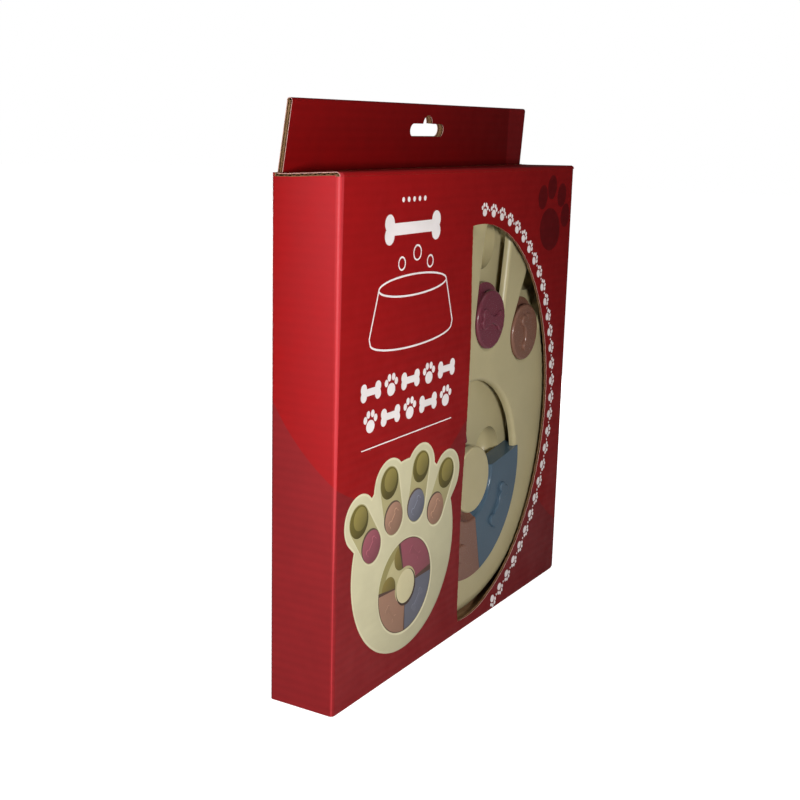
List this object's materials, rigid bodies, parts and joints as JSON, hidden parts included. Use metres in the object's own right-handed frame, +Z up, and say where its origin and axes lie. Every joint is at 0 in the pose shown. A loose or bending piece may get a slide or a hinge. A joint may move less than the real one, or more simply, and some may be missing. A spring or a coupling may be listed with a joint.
{
  "type": "dog puzzle feeder toy",
  "caption": "Paw-shaped dog treat puzzle with sliding caps and turning ring sectors over treat wells, standing in a red fluted window carton with a hang header.",
  "frame": {"origin": "bottom centre of the carton's bounding box", "axes": "+Z up, the window front faces -Y, +X to the right seen from the front"},
  "size_m": [0.3, 0.044, 0.3389],
  "materials": {
    "print_red": "satin printed liner on fluted board",
    "kraft": "bare brown liner",
    "cream_plastic": "fine satin moulding",
    "plum_plastic": "satin moulding",
    "rose_brown_plastic": "satin moulding",
    "slate_blue_plastic": "satin moulding",
    "steel_screw": "zinc plated",
    "foot_rubber": "matt"
  },
  "bodies": {
    "carton": {"front_panel": "print_red", "back_panel": "print_red", "left_side_panel": "print_red", "right_side_panel": "print_red", "glue_flap": "kraft", "header_front_ply": "print_red", "bottom_outer_flap": "print_red", "bottom_inner_flap": "kraft", "bottom_dust_flap_left": "kraft", "bottom_dust_flap_right": "kraft"},
    "lid": {"lid_panel": "print_red"},
    "lid_tuck": {"lid_tuck_flap": "print_red"},
    "dust_flap_left": {"top_dust_flap_left": "print_red"},
    "dust_flap_right": {"top_dust_flap_right": "print_red"},
    "toy_base": {"top_shell": "cream_plastic", "bottom_tray": "cream_plastic", "hub_cap": "cream_plastic", "hub_screw": "steel_screw", "shell_screws": "steel_screw", "rubber_feet": "foot_rubber"},
    "cap_outer_left": {"toe_cap_outer_left": "rose_brown_plastic"},
    "cap_inner_left": {"toe_cap_inner_left": "slate_blue_plastic"},
    "cap_inner_right": {"toe_cap_inner_right": "plum_plastic"},
    "cap_outer_right": {"toe_cap_outer_right": "rose_brown_plastic"},
    "sector_right": {"ring_sector_right": "slate_blue_plastic"},
    "sector_lower": {"ring_sector_lower": "rose_brown_plastic"},
    "sector_upper": {"ring_sector_upper": "plum_plastic"}
  },
  "joints": [
    {"name": "lid_hinge", "type": "hinge", "parent": "carton", "child": "lid", "pos_m": [0, 0.0174, 0.2991], "axis": [-1, 0, 0], "range_deg": [0, 75]},
    {"name": "lid_tuck_fold", "type": "hinge", "parent": "lid", "child": "lid_tuck", "pos_m": [0, -0.0187, 0.2965], "axis": [1, 0, 0], "range_deg": [0, 67.5]},
    {"name": "dust_flap_left_fold", "type": "hinge", "parent": "carton", "child": "dust_flap_left", "pos_m": [-0.1469, 0.0031, 0.2969], "axis": [0, 1, 0], "range_deg": [0, 80]},
    {"name": "dust_flap_right_fold", "type": "hinge", "parent": "carton", "child": "dust_flap_right", "pos_m": [0.1469, 0.0031, 0.2969], "axis": [0, -1, 0], "range_deg": [0, 80]},
    {"name": "toy_lift", "type": "slide", "parent": "carton", "child": "toy_base", "axis": [0, 0, 1], "range_m": [0, 0.01]},
    {"name": "cap_outer_left_slide", "type": "slide", "parent": "toy_base", "child": "cap_outer_left", "axis": [-0.4848, 0, 0.8746], "range_m": [0, 0.05]},
    {"name": "cap_inner_left_slide", "type": "slide", "parent": "toy_base", "child": "cap_inner_left", "axis": [-0.1564, 0, 0.9877], "range_m": [0, 0.05]},
    {"name": "cap_inner_right_slide", "type": "slide", "parent": "toy_base", "child": "cap_inner_right", "axis": [0.1564, 0, 0.9877], "range_m": [0, 0.05]},
    {"name": "cap_outer_right_slide", "type": "slide", "parent": "toy_base", "child": "cap_outer_right", "axis": [0.4848, 0, 0.8746], "range_m": [0, 0.05]},
    {"name": "sector_right_turn", "type": "hinge", "parent": "toy_base", "child": "sector_right", "pos_m": [0.0198, -0.016, 0.0984], "axis": [0, -1, 0], "range_deg": [0, 98.4]},
    {"name": "sector_lower_turn", "type": "hinge", "parent": "toy_base", "child": "sector_lower", "pos_m": [0.0198, -0.016, 0.0984], "axis": [0, -1, 0], "range_deg": [-5, 0]},
    {"name": "sector_upper_turn", "type": "hinge", "parent": "toy_base", "child": "sector_upper", "pos_m": [0.0198, -0.016, 0.0984], "axis": [0, -1, 0], "range_deg": [-98.6, 4.9]}
  ],
  "couplings": [
    {"joint": "lid_tuck_fold", "follows": "lid_hinge", "ratio": 0.9}
  ]
}
